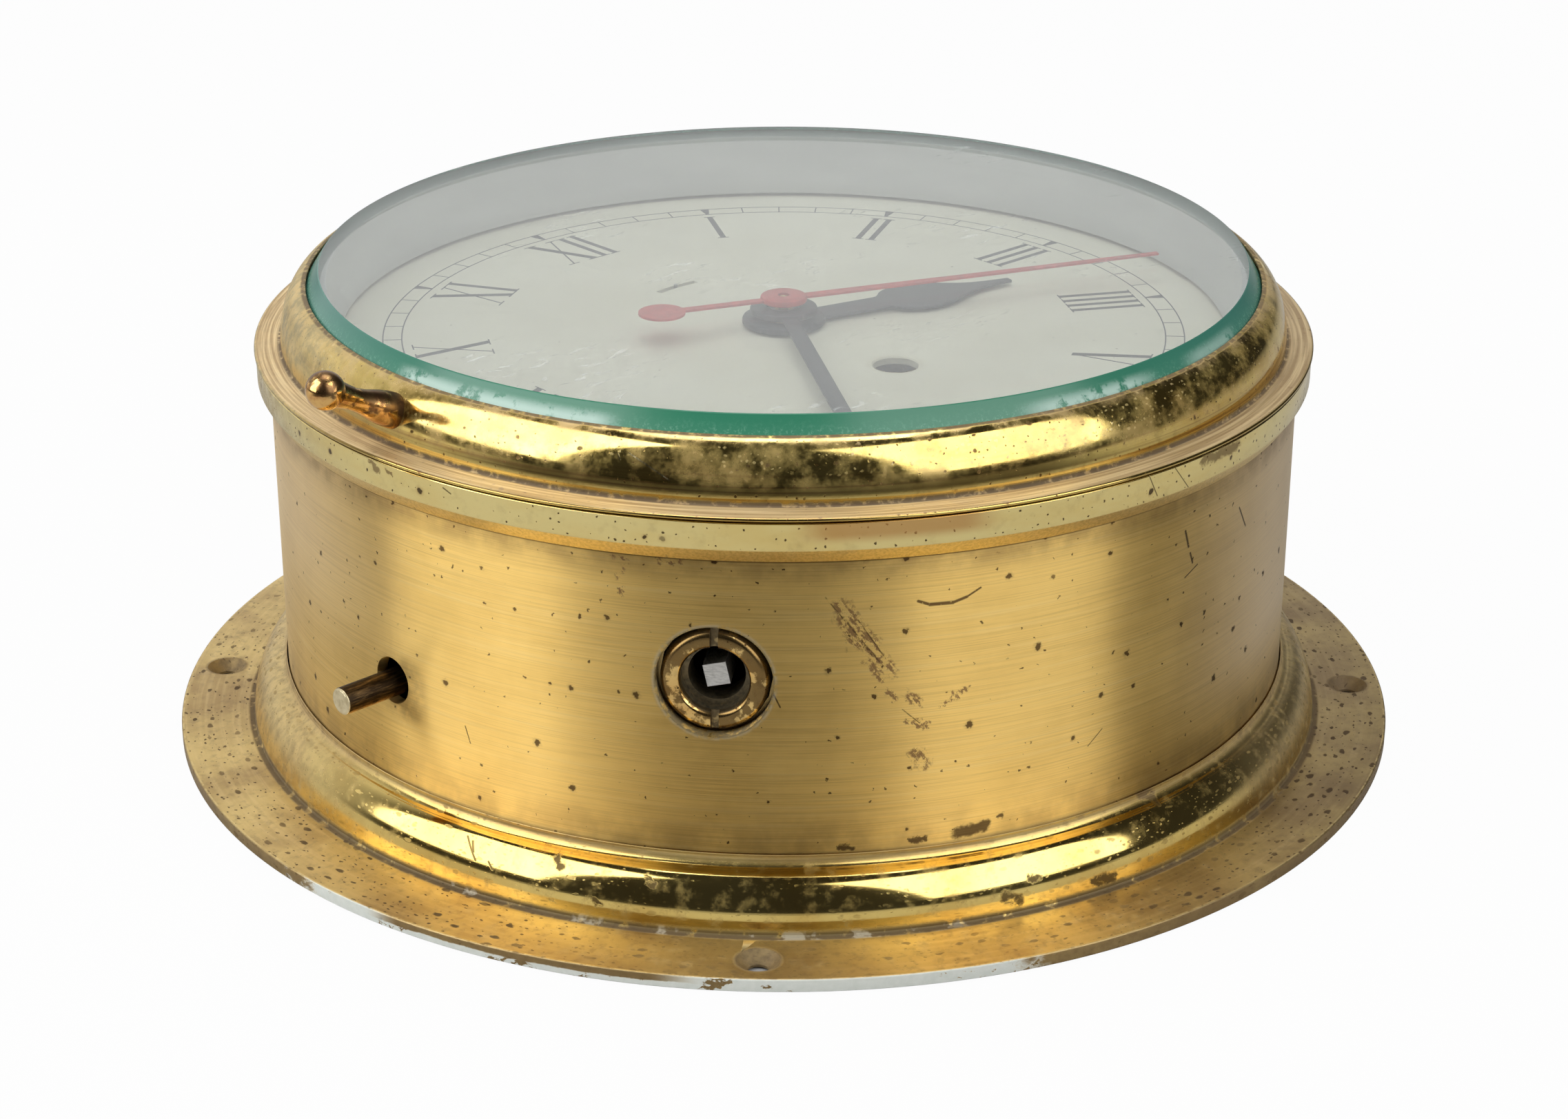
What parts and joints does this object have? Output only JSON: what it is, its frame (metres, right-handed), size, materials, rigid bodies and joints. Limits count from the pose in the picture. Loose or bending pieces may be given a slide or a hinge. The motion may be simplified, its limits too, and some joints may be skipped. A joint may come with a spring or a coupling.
{
  "type": "bulkhead clock",
  "caption": "Round brass ship's clock with a wide screw flange, deep drum, hinged half-round bezel, thick bevelled glass, Roman dial, hands and a spring-driven movement.",
  "frame": {"origin": "centre of the flange's back face, which is the mounting plane", "axes": "+Z out of the dial, +Y towards XII, +X towards III"},
  "size_m": [0.234, 0.234, 0.0932],
  "materials": {
    "polished_brass": "polished, tarnished in places",
    "satin_brass": "satin, brushed round the drum, spotted",
    "dull_brass": "dull with dark spots",
    "copper_gold": "worn polish",
    "steel": "plain machined",
    "blued_steel": "blued",
    "red_hand": "matt red",
    "dial_paint": "cream enamel",
    "sight_paint": "matt light grey",
    "clear_glass": "thick clear plate with a greenish bevel"
  },
  "bodies": {
    "case": {"base_moulding": "dull_brass", "case_drum": "satin_brass", "case_rim": "polished_brass", "rear_cover": "dull_brass", "rear_cover_screw_1": "steel", "rear_cover_screw_2": "steel", "rear_cover_screw_3": "steel", "rear_cover_screw_4": "steel", "setting_bush": "satin_brass", "setting_boss": "dull_brass", "hinge_bracket": "satin_brass", "hinge_pin": "steel", "dial": "dial_paint", "dial_screw_1": "steel", "dial_screw_2": "steel", "dial_screw_3": "steel", "dial_pillar_1": "satin_brass", "dial_pillar_2": "satin_brass", "dial_pillar_3": "satin_brass", "dial_pillar_4": "satin_brass", "front_plate": "satin_brass", "back_plate": "satin_brass", "movement_pillar_1": "satin_brass", "movement_pillar_2": "satin_brass", "movement_pillar_3": "satin_brass", "movement_pillar_4": "satin_brass", "pallet_bridge": "satin_brass", "balance_cock": "satin_brass", "click_screw": "steel", "setting_bracket": "satin_brass"},
    "bezel_door": {"bezel": "polished_brass", "glass": "clear_glass", "sight_ring": "sight_paint", "bezel_tab": "copper_gold", "hinge_leaf": "satin_brass"},
    "minute": {"centre_wheel": "satin_brass", "cannon_pinion": "steel", "minute_hand": "blued_steel"},
    "hour": {"hour_wheel": "satin_brass", "hour_hand": "blued_steel"},
    "seconds": {"fourth_wheel": "satin_brass", "seconds_hand": "red_hand"},
    "motion": {"minute_wheel": "satin_brass"},
    "transfer": {"transfer_arbor": "steel"},
    "setting": {"setting_arbor": "steel"},
    "third": {"third_wheel": "satin_brass"},
    "intermediate": {"intermediate_wheel": "satin_brass"},
    "mainspring_barrel": {"barrel": "satin_brass", "barrel_cap": "satin_brass", "mainspring": "steel"},
    "winding": {"winding_arbor": "steel", "ratchet_wheel": "steel"},
    "pawl": {"click": "steel"},
    "escape": {"escape_wheel": "satin_brass"},
    "pallets": {"pallet_lever": "steel"},
    "balance": {"balance_wheel": "satin_brass", "hairspring": "blued_steel"},
    "index": {"regulator_index": "steel"},
    "stop": {"stop_lever": "steel"}
  },
  "joints": [
    {"name": "bezel_hinge", "type": "hinge", "parent": "case", "child": "bezel_door", "pos_m": [0.10255, 0.00304, 0.0759], "axis": [-0.0297, 0.9996, 0], "range_deg": [0, 110]},
    {"name": "minute_hand_turn", "type": "hinge", "parent": "case", "child": "minute", "pos_m": [0, 0, 0.06], "axis": [0, 0, -1], "continuous": true},
    {"name": "hour_hand_turn", "type": "hinge", "parent": "case", "child": "hour", "pos_m": [0, 0, 0.06], "axis": [0, 0, -1], "continuous": true},
    {"name": "seconds_hand_turn", "type": "hinge", "parent": "case", "child": "seconds", "pos_m": [0, 0, 0.06], "axis": [0, 0, -1], "continuous": true},
    {"name": "motion_wheel_turn", "type": "hinge", "parent": "case", "child": "motion", "pos_m": [-0.0122, -0.01035, 0.06], "axis": [0, 0, -1], "continuous": true},
    {"name": "transfer_turn", "type": "hinge", "parent": "case", "child": "transfer", "pos_m": [-0.02563, -0.02173, 0.06], "axis": [0, 0, -1], "continuous": true},
    {"name": "setting_square_turn", "type": "hinge", "parent": "case", "child": "setting", "pos_m": [-0.06864, -0.05821, 0.0459], "axis": [0.7627, 0.6468, 0], "continuous": true},
    {"name": "third_wheel_turn", "type": "hinge", "parent": "case", "child": "third", "pos_m": [-0.0238, 0, 0.06], "axis": [0, 0, -1], "continuous": true},
    {"name": "intermediate_turn", "type": "hinge", "parent": "case", "child": "intermediate", "pos_m": [0.02025, -0.015, 0.06], "axis": [0, 0, -1], "continuous": true},
    {"name": "barrel_turn", "type": "hinge", "parent": "case", "child": "mainspring_barrel", "pos_m": [0, -0.03, 0.06], "axis": [0, 0, -1], "continuous": true},
    {"name": "escape_turn", "type": "hinge", "parent": "case", "child": "escape", "pos_m": [0.00879, 0.01048, 0.06], "axis": [0, 0, -1], "continuous": true},
    {"name": "winding_turn", "type": "hinge", "parent": "case", "child": "winding", "pos_m": [0, -0.03, 0.06], "axis": [0, 0, -1], "continuous": true},
    {"name": "click_pivot", "type": "hinge", "parent": "case", "child": "pawl", "pos_m": [0.0125, -0.024, 0.06], "axis": [0, 0, 1], "range_deg": [0, 20]},
    {"name": "balance_swing", "type": "hinge", "parent": "case", "child": "balance", "pos_m": [0, 0.0205, 0.042], "axis": [0, 0, 1], "range_deg": [-30, 30], "stiffness_Nm_per_rad": 0.00002},
    {"name": "pallet_swing", "type": "hinge", "parent": "case", "child": "pallets", "pos_m": [0.01016, 0.01785, 0.0395], "axis": [0, 0, 1], "range_deg": [-5.4, 5.4]},
    {"name": "regulator_turn", "type": "hinge", "parent": "case", "child": "index", "pos_m": [0, 0.0205, 0.049], "axis": [0, 0, 1], "range_deg": [-18, 18]},
    {"name": "stop_lever_pivot", "type": "hinge", "parent": "case", "child": "stop", "pos_m": [-0.05998, -0.00147, 0.0323], "axis": [0, 0, 1], "range_deg": [0, 3.2]}
  ],
  "couplings": [
    {"joint": "hour_hand_turn", "follows": "minute_hand_turn", "ratio": 0.083333},
    {"joint": "seconds_hand_turn", "follows": "minute_hand_turn", "ratio": 60},
    {"joint": "motion_wheel_turn", "follows": "minute_hand_turn", "ratio": -0.33333},
    {"joint": "transfer_turn", "follows": "minute_hand_turn", "ratio": 0.71429},
    {"joint": "setting_square_turn", "follows": "minute_hand_turn", "ratio": 0.71429},
    {"joint": "third_wheel_turn", "follows": "minute_hand_turn", "ratio": -7.5},
    {"joint": "intermediate_turn", "follows": "minute_hand_turn", "ratio": -0.16667},
    {"joint": "barrel_turn", "follows": "minute_hand_turn", "ratio": 0.027778},
    {"joint": "escape_turn", "follows": "minute_hand_turn", "ratio": -420},
    {"joint": "pallet_swing", "follows": "balance_swing", "ratio": -0.18}
  ]
}
